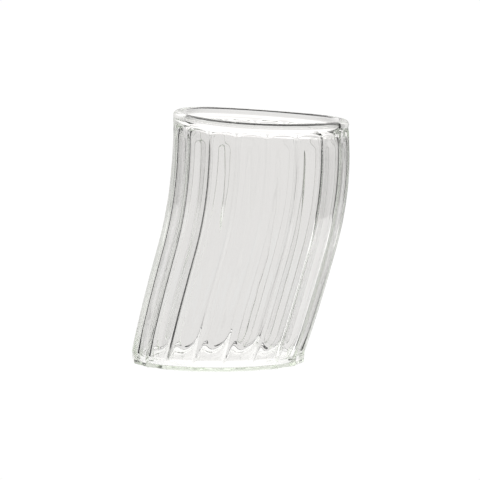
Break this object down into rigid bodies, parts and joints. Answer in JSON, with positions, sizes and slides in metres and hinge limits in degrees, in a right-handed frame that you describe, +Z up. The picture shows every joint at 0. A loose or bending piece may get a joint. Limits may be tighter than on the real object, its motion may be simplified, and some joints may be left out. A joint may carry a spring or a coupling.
{
  "type": "ribbed glass tumbler",
  "caption": "Clear glass drinking tumbler with a wavy leaning body, upright flutes, a flat closed foot and a rounded, slightly tilted rim.",
  "frame": {"origin": "middle of the flat underside, on the surface that the tumbler stands on", "axes": "+Z up, +X towards the side that the body leans to, and the XZ plane mirrors one half onto the other"},
  "size_m": [0.0973, 0.0802, 0.1131],
  "materials": {
    "clear_glass": "clear, polished"
  },
  "bodies": {
    "root": {"glass_tumbler": "clear_glass"}
  },
  "joints": []
}
